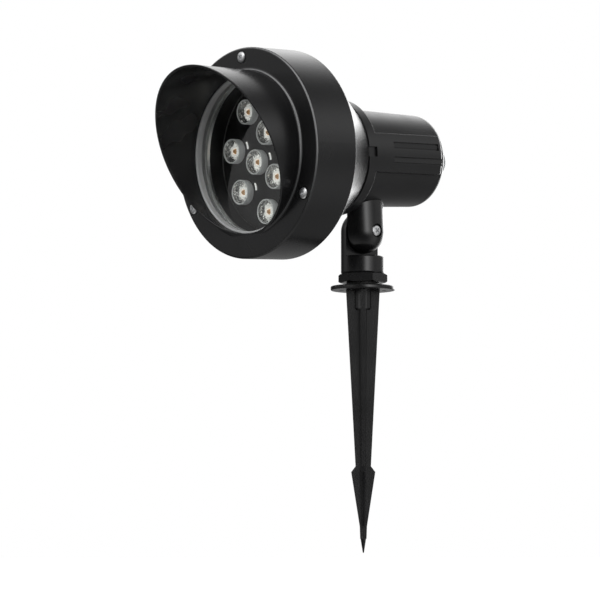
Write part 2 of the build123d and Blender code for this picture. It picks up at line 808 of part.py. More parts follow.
def gland_nut():
    """Domed clamping nut with six shallow flats."""
    front = gland_nut_front()
    rear = front + gland_nut_length
    inside = gland_neck_radius + run_gap
    lip = front + gland_neck_length + 1.0
    shell = ring_of([
        (inside, front), (gland_nut_radius, front), (gland_nut_radius, rear - 2.8 * gland_nut_round),
        (gland_nut_radius - 0.16 * gland_nut_round, rear - gland_nut_round),
        (gland_nut_radius - 0.8 * gland_nut_round, rear - 0.2 * gland_nut_round),
        (gland_nut_radius - 1.2 * gland_nut_round, rear), (gland_nut_mouth, rear),
        (gland_nut_mouth, rear - gland_nut_lip), (inside, lip + gland_nut_lip)])
    grip = hexagon(2 * gland_nut_radius - 1.0, front - 1, rear - gland_grip_end, turn=gland_hex_turn)
    grip += rod(gland_nut_radius + 1, rear - gland_grip_end, rear + 1)
    return shell & grip


def gland_insert():
    """Rubber sealing insert, empty."""
    front = gland_hex_front() + gland_hex_length + gland_neck_length + slip_gap
    rear = gland_nut_front() + gland_nut_length - gland_nut_lip - slip_gap
    return ring_of([
        (gland_cable_radius, front), (gland_neck_radius - 2 * slip_gap, front), (gland_insert_nose, rear),
        (gland_cable_radius, rear)])


def gland_locknut():
    """Thin nut inside the end wall."""
    low = end_wall_front - gland_locknut_length
    body = hexagon(gland_locknut_flats, low, end_wall_front)
    return body - rod(gland_thread_radius + thread_gap, low - 1, end_wall_front + 1)


# ------------------------------------------------------------------ split knuckle
def teeth(side):
    """Radial teeth that rise from a flat face towards the middle plane."""
    ring = []
    foot = side * split_gap
    tip = side * (split_gap - tooth_height)
    half = tooth_width / 2
    for b in bearings(tooth_count, 0):
        profile = Polyline((foot + side * 0.2, -half), (foot, -half), (tip, 0), (foot, half),
                           (foot + side * 0.2, half), close=True)
        ridge = extrude(make_face(profile), tooth_outer - tooth_inner)
        ring.append(Rot(b, 0, 0) * Pos(0, 0, tooth_inner) * ridge)
    return ring


def half_bar(side, low, high):
    """Half of a round upright bar with a ball end about the tilt axis."""
    bar = Pos(0, 0, low) * Cylinder(bar_radius, high - low, align=CENTRE_MIN)
    bar += Sphere(bar_radius)
    keep = slab(sorted((side * split_gap, side * 30)), (-30, 30), (-60, 60))
    return bar & keep


def knuckle_base():
    """Round foot of the knuckle with the ear on its -X side."""
    foot = Pos(0, 0, base_bottom) * Cylinder(bar_radius, base_height, align=CENTRE_MIN)
    foot = fillet(foot.edges().filter_by(GeomType.CIRCLE), base_round)
    ear = half_bar(-1, base_bottom + base_round - hinge_height, 0)
    body = foot + at_hinge(ear)
    for ridge in teeth(-1):
        body += at_hinge(ridge)
    body -= at_hinge(side_rod(m4_radius + run_gap, -30, 10))
    pocket = RegularPolygon(m4_nut_flats / 2 + slip_gap, 6, major_radius=False)
    body -= at_hinge(Pos(-bar_radius - 5, 0, 0) * Rot(0, 90, 0) * extrude(pocket, 5 + nut_pocket_depth))
    bore = Pos(0, 0, base_bottom - 1) * Cylinder(stud_radius + run_gap, stud_above + 2, align=CENTRE_MIN)
    return body - bore


def knuckle_arm():
    """Upright half bar on the +X side, shaped to the rear housing above it."""
    top = axis_rise
    arm = half_bar(1, 0, top)
    clearance = slip_gap / 2
    start = collar_rear - 20
    cup = ring_of([
        (0, start), (body_outer_radius(start) + clearance, start),
        (body_outer_radius(body_rear) + clearance, body_rear), (0, body_rear)])
    collar = rod(collar_radius + 1, 0, collar_rear + 0.3)
    lamp = Pos(0, -head_reach, axis_rise) * (cup + collar)
    arm -= lamp
    arm -= slab((-50, 50), (-50, 50), (axis_rise, 200))
    solids = arm.solids().sort_by(Axis.Z)
    arm = solids[0]
    for ridge in teeth(1):
        arm += ridge
    arm -= side_rod(m4_radius + run_gap, -10, 30)
    arm -= side_rod(counterbore_radius, bar_radius - counterbore_depth, 30)
    for shift in (-1, 1):
        arm -= Pos(arm_screw_side, shift * arm_screw_spread, 6) * Cylinder(
            m4_radius, 40, align=CENTRE_MIN)
    return arm


def arm_screws():
    """Two screws from inside the rear housing down into the arm."""
    seat = axis_rise - arm_boss_height
    one = Rot(-90, 0, 0) * screw(m4_radius, arm_screw_length, m4_head_radius, m4_head_height)
    return [Pos(arm_screw_side, shift * arm_screw_spread, seat) * one for shift in (-1, 1)]


def pivot_screw():
    """M4 screw through the arm and the ear, its head in the arm's counterbore."""
    seat = bar_radius - counterbore_depth + washer_thickness
    length = seat + bar_radius - nut_pocket_depth + m4_nut_height - 2 * slip_gap
    return Pos(seat, 0, 0) * Rot(0, 0, 90) * screw(m4_radius, length, m4_head_radius, m4_head_height)


def pivot_washer():
    """Spring washer under the head of the pivot screw."""
    low = bar_radius - counterbore_depth
    return side_rod(m4_head_radius, low, low + washer_thickness) - side_rod(
        m4_radius + face_gap, low - 1, low + 3)


def pivot_nut():
    """M4 nut held from turning in the ear's pocket."""
    floor = -bar_radius + nut_pocket_depth
    outline = RegularPolygon(m4_nut_flats / 2, 6, major_radius=False)
    body = Pos(floor - m4_nut_height, 0, 0) * Rot(0, 90, 0) * extrude(outline, m4_nut_height)
    return body - side_rod(m4_radius + thread_gap, -30, 10)


# ------------------------------------------------------------------ foot and ground spike
def foot_nut():
    """Hexagonal foot that locks the knuckle to the spike."""
    outline = RegularPolygon(foot_flats / 2, 6, major_radius=False, rotation=foot_vertex)
    body = Pos(0, 0, foot_bottom) * extrude(outline, foot_height)
    corner = foot_flats / 2 / cos(radians(30))
    flat = corner - foot_corner_cut
    low = foot_bottom
    high = foot_top
    turned = revolve(Plane.XZ * make_face(Polyline(
        (0, low), (flat, low), (corner, low + foot_chamfer), (corner, high - foot_chamfer),
        (flat, high), (0, high), close=True)), Axis.Z)
    body &= turned
    return body - Pos(0, 0, low - 1) * Cylinder(stud_radius + thread_gap, foot_height + 2, align=CENTRE_MIN)


def foot_washer():
    """Rubber washer between the foot and the spike's flange."""
    low = spike_flange_thickness
    ring = Pos(0, 0, low) * Cylinder(foot_washer_radius, foot_bottom - low, align=CENTRE_MIN)
    return ring - Pos(0, 0, low - 1) * Cylinder(stud_radius + face_gap, 20, align=CENTRE_MIN)


def swivel_stud():
    """M8 stud from the spike's boss up into the knuckle base."""
    length = stud_below + base_bottom + stud_above
    body = Pos(0, 0, -stud_below) * Cylinder(stud_radius, length, align=CENTRE_MIN)
    return chamfer(body.edges().filter_by(GeomType.CIRCLE), stud_chamfer)


def fin_blade():
    """One blade of the cross: its outline cut from a plate that thins downwards."""
    half = [(fin_root_half_width, 0), (fin_waist_half_width, -fin_waist_depth),
            (barb_half_width, -barb_depth), (fin_end_half_width, -fin_end_depth),
            (tip_shoulder_radius, -tip_shoulder_depth)]
    outline = half + [(-x, z) for x, z in reversed(half)]
    face = Plane.XZ * make_face(Polyline(*outline, close=True))
    plate = extrude(face, 20, both=True)
    low = -tip_shoulder_depth - 1
    thick = fin_top_thickness / 2
    thin = fin_low_thickness / 2
    side = Plane.YZ * make_face(Polyline((-thick, 0), (thick, 0), (thin, low), (-thin, low), close=True))
    return plate & extrude(side, 30, both=True)


def ground_spike():
    """Moulded spike: flange, boss, cross fins with barbs, core and point."""
    flange = Cylinder(spike_flange_radius, spike_flange_thickness, align=CENTRE_MIN)
    flange = fillet(flange.edges().filter_by(GeomType.CIRCLE), spike_flange_round)
    boss = Pos(0, 0, -spike_boss_length) * Cylinder(
        spike_boss_radius, spike_boss_length + 1, align=CENTRE_MIN)
    boss = chamfer(boss.edges().group_by(Axis.Z)[0], spike_boss_chamfer)
    blade = fin_blade()
    core = revolve(Plane.XZ * make_face(Polyline(
        (0, 0), (core_top_radius, 0), (core_low_radius, -fin_end_depth),
        (tip_shoulder_radius * 0.9, -tip_shoulder_depth), (tip_radius, -spike_length + tip_radius),
        (0.25, -spike_length), (0, -spike_length), close=True)), Axis.Z)
    body = flange + boss + core + blade + Rot(0, 0, 90) * blade
    for side in (-1, 1):
        body -= Pos(side * spike_hole_circle, 0, -1) * Cylinder(
            spike_hole_radius, spike_flange_thickness + 2, align=CENTRE_MIN)
    body -= Pos(0, 0, -stud_below - slip_gap) * Cylinder(stud_radius + thread_gap, 40, align=CENTRE_MIN)
    return Rot(0, 0, spike_turn) * body


# ------------------------------------------------------------------ assembly
head_parts = {
    "front_bezel": front_bezel,
    "bezel_screws": bezel_screws,
    "glass_gasket": glass_gasket,
    "front_glass": front_glass,
    "glass_retainer": glass_retainer,
    "retainer_screws": retainer_screws,
    "baffle": baffle,
    "lens_plate": lens_plate,
    "led_lenses": led_lenses,
    "led_packages": led_packages,
    "led_chips": led_chips,
    "led_board": led_board,
    "heat_spreader": heat_spreader,
    "spreader_screws": spreader_screws,
    "cone_housing": cone_housing,
    "collar_seal": collar_seal,
    "body_screws": body_screws,
    "rear_housing": rear_housing,
    "driver_tray": driver_tray,
    "tray_screws": tray_screws,
    "led_driver": led_driver,
    "terminal_block": terminal_block,
    "lead_wires": lead_wires,
    "gland_seal": gland_seal,
    "gland_body": gland_body,
    "gland_nut": gland_nut,
    "gland_insert": gland_insert,
    "gland_locknut": gland_locknut,
}
arm_parts = {
    "knuckle_arm": knuckle_arm,
    "arm_screws": arm_screws,
}
hinge_parts = {
    "pivot_screw": pivot_screw,
    "pivot_washer": pivot_washer,
    "pivot_nut": pivot_nut,
}
standing_parts = {
    "knuckle_base": knuckle_base,
    "foot_nut": foot_nut,
    "foot_washer": foot_washer,
    "swivel_stud": swivel_stud,
    "ground_spike": ground_spike,
}


def write(name, shape, place):
    """Write one node, a single solid or a group of separate ones."""
    pieces = shape if isinstance(shape, list) else [shape]
    solids = [solid for piece in pieces for solid in place(piece).solids()]
    whole = solids[0] if len(solids) == 1 else Compound(children=solids)
    export_step(whole, f"parts/{name}.step")


os.makedirs("parts", exist_ok=True)
groups = ((head_parts, to_lamp), (arm_parts, tilt), (hinge_parts, at_hinge),
          (standing_parts, lambda shape: shape))
for group, place in groups:
    for name, build in group.items():
        write(name, build(), place)
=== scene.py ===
import json
import logging
import math
from dataclasses import dataclass, field
from enum import Enum

import bmesh
import bpy
import numpy as np
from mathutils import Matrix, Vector


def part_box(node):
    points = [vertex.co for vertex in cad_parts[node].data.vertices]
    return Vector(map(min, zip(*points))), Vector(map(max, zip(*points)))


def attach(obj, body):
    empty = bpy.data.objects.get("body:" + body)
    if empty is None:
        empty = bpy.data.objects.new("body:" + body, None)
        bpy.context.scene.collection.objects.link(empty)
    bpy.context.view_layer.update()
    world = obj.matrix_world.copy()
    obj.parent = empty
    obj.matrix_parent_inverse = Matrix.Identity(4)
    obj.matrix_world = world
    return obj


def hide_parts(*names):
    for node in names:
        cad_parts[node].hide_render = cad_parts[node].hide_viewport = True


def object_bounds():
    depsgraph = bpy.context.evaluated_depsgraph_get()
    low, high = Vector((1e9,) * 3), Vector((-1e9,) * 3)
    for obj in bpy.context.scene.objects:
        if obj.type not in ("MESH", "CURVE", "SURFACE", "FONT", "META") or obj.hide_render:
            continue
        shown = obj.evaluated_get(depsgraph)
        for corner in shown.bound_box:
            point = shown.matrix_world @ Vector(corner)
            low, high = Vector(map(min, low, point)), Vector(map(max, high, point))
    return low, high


# Garden spike spotlight: the finishes, lenses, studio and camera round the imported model.
# Lengths in the code are in millimetres, and meshes are written in metres, in the model's own frame.

LOG = logging.getLogger("spotlight")
MM = 0.001
ACROSS = np.array([1.0, 0.0, 0.0])          # the lamp's sideways direction, which its tilt doesn't turn
COLOUR_A, COLOUR_B, COLOUR_OUT = 6, 7, 2    # numbers of a Mix node's colour sockets

# how the lamp stands; a station is a distance behind the bezel's face, along the lamp's axis
HEAD_TILT = 3.3                # nose-down angle of the head at rest, degrees
GLASS_STATION = 8.0            # middle of the glass
PLATE_STATION = 27.5           # front face of the lens plate
BEAD_BASE = 28.5               # front faces of the LED bodies
LENS_HEIGHT = 5.6
LENS_RADIUS = 9.0
CLIP_BEARINGS = (2.0, 26.0)    # each clip's ends, seen from its lens, in degrees
CLIP_RADII = (12.2, 13.0)
CLIP_HEIGHT = 1.0
CLIP_STEPS = 9

# how the finishes vary
DRIFT_SCALE = 28.0             # slow drift of colour and gloss, cells of about 35 mm
COLOUR_DRIFT = (0.35, 0.7)     # noise values between which the second colour comes in
GLOSS_DRIFT = (0.3, 0.7)       # noise values between which the roughness moves
ROLLED_STRETCH = 0.04          # share of the scale along the lines of rolled sheet
FLOW_SCALE = 0.1               # a polished mould's waves are ten grains long
SUBSURFACE_MM = 1.5            # how deep light goes into silicone and nylon
PAINTED_HIGHLIGHT_REACH = 0.8                # how far from a rim its painted highlight reaches, in millimetres
PAINTED_HIGHLIGHT_CORE = 0.4                 # share of that reach in which the band is full
PAINTED_HIGHLIGHT_FADE = (-50.0, 15.0)       # heights between which a rim's painted highlight comes in, so that it is brighter towards the top

# how meshes are cleaned
WELD_MM = 0.002                # points nearer than this become one
SLIVER_MM = 0.0002             # edges shorter than this go

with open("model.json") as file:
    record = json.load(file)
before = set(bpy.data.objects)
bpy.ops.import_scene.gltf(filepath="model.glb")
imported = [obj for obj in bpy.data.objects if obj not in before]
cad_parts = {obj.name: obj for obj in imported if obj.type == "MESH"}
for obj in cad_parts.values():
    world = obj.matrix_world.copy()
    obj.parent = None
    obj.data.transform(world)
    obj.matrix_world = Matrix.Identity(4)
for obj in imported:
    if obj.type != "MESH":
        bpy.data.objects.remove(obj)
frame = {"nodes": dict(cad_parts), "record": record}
cad_low, cad_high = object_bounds()


# ------------------------------------------------------------------ colours and nodes
def linear(hex_colour: str, alpha: float = 1.0) -> tuple[float, float, float, float]:
    """Turn an sRGB hex colour into linear values for a shader, by the standard sRGB curve.

    Args:
        hex_colour: Six hex digits, such as "1a1a1b".
        alpha: The fourth value.

    Returns:
        Red, green, blue and alpha, linear.
    """
    shares = np.array([int(hex_colour[k:k + 2], 16) for k in (0, 2, 4)]) / 255
    values = np.where(shares <= 0.04045, shares / 12.92, ((shares + 0.055) / 1.055) ** 2.4)
    return (*(float(v) for v in values), alpha)


def add_node(tree: bpy.types.NodeTree, kind: str, inputs: dict | None = None, **settings) -> bpy.types.Node:
    """Add a node, with its settings, and fill its sockets with values or links.

    Args:
        tree: The node tree.
        kind: Blender's node type, such as "ShaderNodeBump".
        inputs: Socket name or number to a value, or to an output socket to link from.
        **settings: The node's own properties.

    Returns:
        The new node.
    """
    node = tree.nodes.new(kind)
    for key, value in settings.items():
        setattr(node, key, value)
    for key, value in (inputs or {}).items():
        if isinstance(value, bpy.types.NodeSocket):
            tree.links.new(value, node.inputs[key])
        else:
            node.inputs[key].default_value = value
    return node


class Grain(Enum):
    """How a finish breaks up its surface."""

    ORANGE_PEEL = "soft cells of a sprayed powder coat"
    SPARK = "fine pits of a spark-eroded mould"
    SMOOTH = "polished mould with faint flow waviness"
    TURNED = "fine rings from a lathe or a header"
    ROLLED = "long fine lines of rolled sheet"


@dataclass(frozen=True)
class Finish:
    """A surface finish: colour, gloss and the relief that its making leaves.

    Attributes:
        name: The material's name.
        colour: Main colour, sRGB hex.
        second: Colour that the slow variation drifts towards.
        roughness: Middle roughness.
        grain: The kind of relief.
        grain_mm: Size of the relief's cells.
        grain_depth_mm: Height of the relief.
        variation: How far the colour drifts, from 0 to 1.
        roughness_spread: How far the roughness drifts each way.
        metallic: 1 for bare metal.
        ior: Index of refraction of what isn't metal.
        subsurface: Share of light that enters and spreads, for silicone and nylon.
        painted_glow: Painted light: emission that brightens the surface, standing for light that the lenses
            gather.
        painted_highlight_colour: Colour of the painted highlight that lies along rims.
        painted_highlight_share: How far a rim takes that painted highlight.
        rims: Radius and station of each round rim that shows it, in the lamp's frame.
    """

    name: str
    colour: str
    second: str
    roughness: float
    grain: Grain = Grain.SPARK
    grain_mm: float = 0.5
    grain_depth_mm: float = 0.01
    variation: float = 0.35
    roughness_spread: float = 0.05
    metallic: float = 0.0
    ior: float = 1.5
    subsurface: float = 0.0
    painted_glow: float = 0.0
    painted_highlight_colour: str = "c8c9ca"
    painted_highlight_share: float = 0.5
    rims: tuple[tuple[float, float], ...] = ()

    def stretch(self) -> tuple[float, float, float]:
        """Scale of the relief, stretched along rolled sheet so that it gets long lines.

        Returns:
            Scale along X, Y and Z, in cells per metre.
        """
        base = 1 / (self.grain_mm * MM)
        if self.grain is Grain.ROLLED:
            return (base, base * ROLLED_STRETCH, base)
        return (base, base, base)

    def relief(self, tree: bpy.types.NodeTree, place: bpy.types.NodeSocket) -> bpy.types.NodeSocket:
        """Height of the surface's relief.

        Args:
            tree: The material's node tree.
            place: Place on the surface, in Object coordinates.

        Returns:
            Socket of the height, from 0 to 1.
        """
        mapped = add_node(tree, "ShaderNodeMapping", {"Vector": place, "Scale": self.stretch()})
        if self.grain is Grain.ORANGE_PEEL:
            cells = add_node(tree, "ShaderNodeTexNoise",
                             {"Vector": mapped.outputs[0], "Scale": 1.0, "Detail": 2.0, "Roughness": 0.45})
            return cells.outputs["Fac"]
        if self.grain is Grain.SPARK:
            pits = add_node(tree, "ShaderNodeTexVoronoi", {"Vector": mapped.outputs[0], "Scale": 1.0},
                            feature="SMOOTH_F1")
            return pits.outputs["Distance"]
        if self.grain is Grain.SMOOTH:
            flow = add_node(tree, "ShaderNodeTexNoise",
                            {"Vector": mapped.outputs[0], "Scale": FLOW_SCALE, "Detail": 1.0})
            return flow.outputs["Fac"]
        lines = add_node(tree, "ShaderNodeTexNoise",
                         {"Vector": mapped.outputs[0], "Scale": 1.0, "Detail": 4.0, "Roughness": 0.6})
        return lines.outputs["Fac"]

    def painted_highlight_mask(self, tree: bpy.types.NodeTree, place: bpy.types.NodeSocket) -> bpy.types.NodeSocket:
        """How far each point takes the painted highlight: a soft band about each of the rims, fading out
        towards the bottom.

        The distance to a rim is that of (radius, station) in the lamp's frame to the rim's own pair.

        Args:
            tree: The material's node tree.
            place: Place on the surface, in Object coordinates.

        Returns:
            Socket of the share, from 0 to painted_highlight_share.
        """
        lamp = LampFrame.from_glass()
        turned = add_node(tree, "ShaderNodeMapping",
                          {"Vector": place, "Location": [float(v) * MM for v in lamp.origin],
                           "Rotation": (math.radians(HEAD_TILT), 0.0, 0.0), "Scale": (MM, MM, MM)},
                          vector_type="TEXTURE")
        across = add_node(tree, "ShaderNodeVectorMath", {0: turned.outputs[0], 1: (1.0, 0.0, 1.0)},
                          operation="MULTIPLY")
        radius = add_node(tree, "ShaderNodeVectorMath", {0: across.outputs[0]}, operation="LENGTH")
        station = add_node(tree, "ShaderNodeSeparateXYZ", {0: turned.outputs[0]})
        section = add_node(tree, "ShaderNodeCombineXYZ",
                           {0: radius.outputs["Value"], 1: station.outputs["Y"]})
        mask = None
        for rim in self.rims:
            away = add_node(tree, "ShaderNodeVectorMath", {0: section.outputs[0], 1: (*rim, 0.0)},
                            operation="DISTANCE")
            band = add_node(tree, "ShaderNodeMapRange",
                            {"Value": away.outputs["Value"], "From Min": PAINTED_HIGHLIGHT_REACH,
                             "From Max": PAINTED_HIGHLIGHT_REACH * PAINTED_HIGHLIGHT_CORE,
                             "To Min": 0.0, "To Max": self.painted_highlight_share}).outputs[0]
            mask = band if mask is None else add_node(
                tree, "ShaderNodeMath", {0: mask, 1: band}, operation="MAXIMUM").outputs[0]
        # the painted highlight fades out downwards, as the light falls from above
        upper = add_node(tree, "ShaderNodeMapRange",
                         {"Value": station.outputs["Z"], "From Min": PAINTED_HIGHLIGHT_FADE[0], "From Max": PAINTED_HIGHLIGHT_FADE[1]})
        faded = add_node(tree, "ShaderNodeMath", {0: mask, 1: upper.outputs[0]}, operation="MULTIPLY")
        return faded.outputs[0]

    def build(self) -> bpy.types.Material:
        """Make the material: slow drift of colour and gloss, a painted highlight along rims, a painted glow
        where asked for, and relief.

        Returns:
            The material.
        """
        material = bpy.data.materials.new(self.name)
        material.use_nodes = True
        tree = material.node_tree
        shader = tree.nodes["Principled BSDF"]
        place = add_node(tree, "ShaderNodeTexCoord").outputs["Object"]
        drift = add_node(tree, "ShaderNodeTexNoise",
                         {"Vector": place, "Scale": DRIFT_SCALE, "Detail": 2.0, "Roughness": 0.5})
        share = add_node(tree, "ShaderNodeMapRange",
                         {"Value": drift.outputs["Fac"],
                          "From Min": COLOUR_DRIFT[0], "From Max": COLOUR_DRIFT[1],
                          "To Min": 0.0, "To Max": self.variation})
        colour = add_node(tree, "ShaderNodeMix",
                          {0: share.outputs[0], COLOUR_A: linear(self.colour), COLOUR_B: linear(self.second)},
                          data_type="RGBA")
        skin = colour.outputs[COLOUR_OUT]
        # painted highlight: the rims take a paler colour, brighter towards the top
        if self.rims:
            skin = add_node(tree, "ShaderNodeMix",
                            {0: self.painted_highlight_mask(tree, place), COLOUR_A: skin, COLOUR_B: linear(self.painted_highlight_colour)},
                            data_type="RGBA").outputs[COLOUR_OUT]
        tree.links.new(skin, shader.inputs["Base Color"])
        gloss = add_node(tree, "ShaderNodeMapRange",
                         {"Value": drift.outputs["Fac"],
                          "From Min": GLOSS_DRIFT[0], "From Max": GLOSS_DRIFT[1],
                          "To Min": self.roughness - self.roughness_spread,
                          "To Max": self.roughness + self.roughness_spread})
        tree.links.new(gloss.outputs[0], shader.inputs["Roughness"])
        bump = add_node(tree, "ShaderNodeBump",
                        {"Height": self.relief(tree, place), "Strength": 1.0,
                         "Distance": self.grain_depth_mm * MM})
        tree.links.new(bump.outputs[0], shader.inputs["Normal"])
        shader.inputs["Metallic"].default_value = self.metallic
        if not self.metallic:
            shader.inputs["IOR"].default_value = self.ior
        shader.inputs["Subsurface Weight"].default_value = self.subsurface
        shader.inputs["Subsurface Radius"].default_value = (1.0, 1.0, 1.0)
        shader.inputs["Subsurface Scale"].default_value = SUBSURFACE_MM * MM
        # painted light: the surface glows in its own colour, though it is no lamp
        if self.painted_glow:
            shader.inputs["Emission Color"].default_value = linear(self.colour)
            shader.inputs["Emission Strength"].default_value = self.painted_glow
        return material


@dataclass(frozen=True)
class ClearFinish:
    """A flat pane or a clear moulding so thin that light goes straight through it.

    Attributes:
        name: The material's name.
        tint: Colour of the light that passes, sRGB hex.
        roughness: Roughness of the mirror image on its surface.
        ior: Index of refraction.
        ripple_mm: Size of the faint waves in the surface.
        ripple_depth_mm: Their height.
        mirror: Times the reflection of one surface; 2 stands for the front and the back together.
    """

    name: str
    tint: str
    roughness: float
    ior: float
    ripple_mm: float
    ripple_depth_mm: float
    mirror: float = 1.5

    def build(self) -> bpy.types.Material:
        """Make the material: it reflects by its Fresnel share and lets the rest straight through.

        Returns:
            The material.
        """
        material = bpy.data.materials.new(self.name)
        material.use_nodes = True
        tree = material.node_tree
        tree.nodes.remove(tree.nodes["Principled BSDF"])
        place = add_node(tree, "ShaderNodeTexCoord").outputs["Object"]
        waves = add_node(tree, "ShaderNodeTexNoise",
                         {"Vector": place, "Scale": 1 / (self.ripple_mm * MM), "Detail": 1.0})
        bump = add_node(tree, "ShaderNodeBump",
                        {"Height": waves.outputs["Fac"], "Distance": self.ripple_depth_mm * MM})
        mirror = add_node(tree, "ShaderNodeBsdfGlossy",
                          {"Color": linear("ffffff"), "Roughness": self.roughness, "Normal": bump.outputs[0]})
        passing = add_node(tree, "ShaderNodeBsdfTransparent", {"Color": linear(self.tint)})
        share = add_node(tree, "ShaderNodeFresnel", {"IOR": self.ior, "Normal": bump.outputs[0]})
        front = add_node(tree, "ShaderNodeMath",
                         {0: 1.0, 1: add_node(tree, "ShaderNodeNewGeometry").outputs["Backfacing"]},
                         operation="SUBTRACT")
        doubled = add_node(tree, "ShaderNodeMath", {0: share.outputs[0], 1: self.mirror},
                           operation="MULTIPLY", use_clamp=True)
        factor = add_node(tree, "ShaderNodeMath", {0: doubled.outputs[0], 1: front.outputs[0]},
                          operation="MULTIPLY")
        mixed = add_node(tree, "ShaderNodeMixShader",
                         {0: factor.outputs[0], 1: passing.outputs[0], 2: mirror.outputs[0]})
        tree.links.new(mixed.outputs[0], tree.nodes["Material Output"].inputs["Surface"])
        return material


# Grain sizes are in millimetres. Real spark pits and turned rings are near 0.1 mm, too fine to show, so they
# are drawn two to five times as coarse.
FINISHES: dict[str, Finish | ClearFinish] = {
    # satin powder coat over die-cast aluminium: deep black, soft sheen, faint orange peel; a painted
    # highlight, brighter towards the top, lies along two round rims, the bezel's outer edge and the root of
    # the visor
    "black_cast": Finish("satin_powder_coat", "151516", "1e1e1f", 0.26, Grain.ORANGE_PEEL, 0.9, 0.006,
                         roughness_spread=0.02, rims=((74.6, 0.4), (59.3, -0.7)), painted_highlight_share=0.36),
    # spark-eroded polycarbonate moulding: black, a little duller than the castings, with a painted highlight
    # along the rim of the lens plate
    "black_plastic": Finish("spark_moulded_polycarbonate", "151516", "1d1d1e", 0.33, Grain.SPARK, 0.35, 0.012,
                            rims=((56.4, 27.6),), painted_highlight_share=0.6),
    # glass-filled nylon of the spike: near black, with a slight sheen
    "spike_plastic": Finish("moulded_glass_filled_nylon", "0e0e0f", "161617", 0.24, Grain.SPARK, 0.5, 0.02),
    # bright zinc on cold-headed steel: pale grey metal with a soft shine
    "zinc_steel": Finish("bright_zinc_plate", "e9eaeb", "cfd0d2", 0.34, Grain.TURNED, 0.25, 0.004,
                         metallic=1.0),
    # lathe-turned stainless steel: a little darker and smoother than the zinc
    "stainless": Finish("turned_stainless", "e2e3e4", "c4c5c7", 0.32, Grain.TURNED, 0.25, 0.004,
                        metallic=1.0),
    # translucent grey silicone: soft, slightly milky
    "grey_silicone": Finish("moulded_silicone", "b6b7b7", "c4c5c5", 0.42, Grain.SMOOTH, 0.8, 0.01,
                            ior=1.42, subsurface=0.2),
    # toughened glass: a clean mirror image over a clear view, waves that only just move it
    "clear_glass": ClearFinish("toughened_soda_lime_glass", "fbfcfb", 0.01, 1.52, 40.0, 0.002),
    # moulded acrylic: clear, with shallow waves that break up its glints
    "clear_acrylic": ClearFinish("moulded_clear_acrylic", "f6f6f5", 0.08, 1.49, 2.5, 0.25),
    # white ceramic LED body, with a painted glow that stands for light the lenses gather onto it
    "white_ceramic": Finish("white_led_body", "f2f2ef", "e4e4df", 0.3, Grain.SMOOTH, 0.4, 0.004, ior=1.6,
                            painted_glow=0.55),
    # amber phosphor in clear silicone, with a faint painted glow
    "amber_phosphor": Finish("amber_phosphor", "bd9468", "a9805a", 0.2, Grain.SMOOTH, 0.4, 0.004, ior=1.41,
                             painted_glow=0.22),
    # mill-finished sheet: long fine lines, bright but not a mirror
    "bare_aluminium": Finish("rolled_aluminium", "c8cacc", "aeb0b3", 0.3, Grain.ROLLED, 0.3, 0.004,
                             metallic=1.0),
    # moulded rubber: dull black
    "black_rubber": Finish("moulded_rubber", "141414", "1d1d1d", 0.6, Grain.SPARK, 0.4, 0.01),
    # moulded case filled with compound: even mid grey
    "driver_case": Finish("potted_driver_case", "7d7f80", "8d8f90", 0.5, Grain.SPARK, 0.5, 0.01),
    # uncoloured nylon: warm white, slightly see-through
    "white_nylon": Finish("natural_nylon", "dedcd4", "c9c7bf", 0.4, Grain.SMOOTH, 0.5, 0.005, subsurface=0.1),
    # extruded silicone sleeve: smooth red
    "wire_sleeve": Finish("red_wire_sleeve", "9c1a14", "7e1310", 0.35, Grain.SMOOTH, 0.5, 0.004),
    # light grey nylon of the gland
    "grey_nylon": Finish("moulded_grey_nylon", "a6a8a9", "949697", 0.38, Grain.SPARK, 0.4, 0.006,
                         subsurface=0.05),
}


# frosted side wall of the lens holders, brightened by a faint painted glow
FROSTED = Finish("frosted_acrylic", "cdcfcf", "e3e5e5", 0.35, Grain.SPARK, 0.3, 0.01, ior=1.49,
                 subsurface=0.3, painted_glow=0.13)
# the collimators' side walls, which reflect all that reaches them from inside
MIRROR_WALL = Finish("total_reflection", "ffffff", "c8c8c8", 0.12, Grain.ORANGE_PEEL, 2.4, 1.1, metallic=1.0,
                     variation=1.0)


class Dresser:
    """Builds each finish once and puts it on pieces."""

    def __init__(self) -> None:
        """Start with no material made."""
        self.made: dict[str, bpy.types.Material] = {}

    def material(self, slot: str, finish: Finish | ClearFinish | None = None) -> bpy.types.Material:
        """The material of a slot, or of a piece's own finish within it, made when it is first asked for.

        Args:
            slot: A slot of the record.
            finish: A finish other than the slot's own.

        Returns:
            The material, which carries its slot's name.
        """
        finish = finish or FINISHES[slot]
        key = f"{slot}/{finish.name}"
        if key not in self.made:
            self.made[key] = finish.build()
            self.made[key]["slot"] = slot
        return self.made[key]

    def dress(self, piece: bpy.types.Object, slot: str, finish: Finish | ClearFinish | None = None) -> None:
        """Give a piece the finish of a slot, or its own within that slot, and report it.

        Args:
            piece: The piece.
            slot: A slot of the record.
            finish: A finish other than the slot's own.
        """
        piece.data.materials.clear()
        piece.data.materials.append(self.material(slot, finish))
        LOG.info("%s: %s", piece.name, piece.data.materials[0].name)

    def dress_nodes(self) -> None:
        """Give every node of the model the finish that the record names for it."""
        slots = {row["node"]: row["material_slot"] for row in frame["record"]["subparts"]}
        for name, piece in frame["nodes"].items():
            self.dress(piece, slots[name])


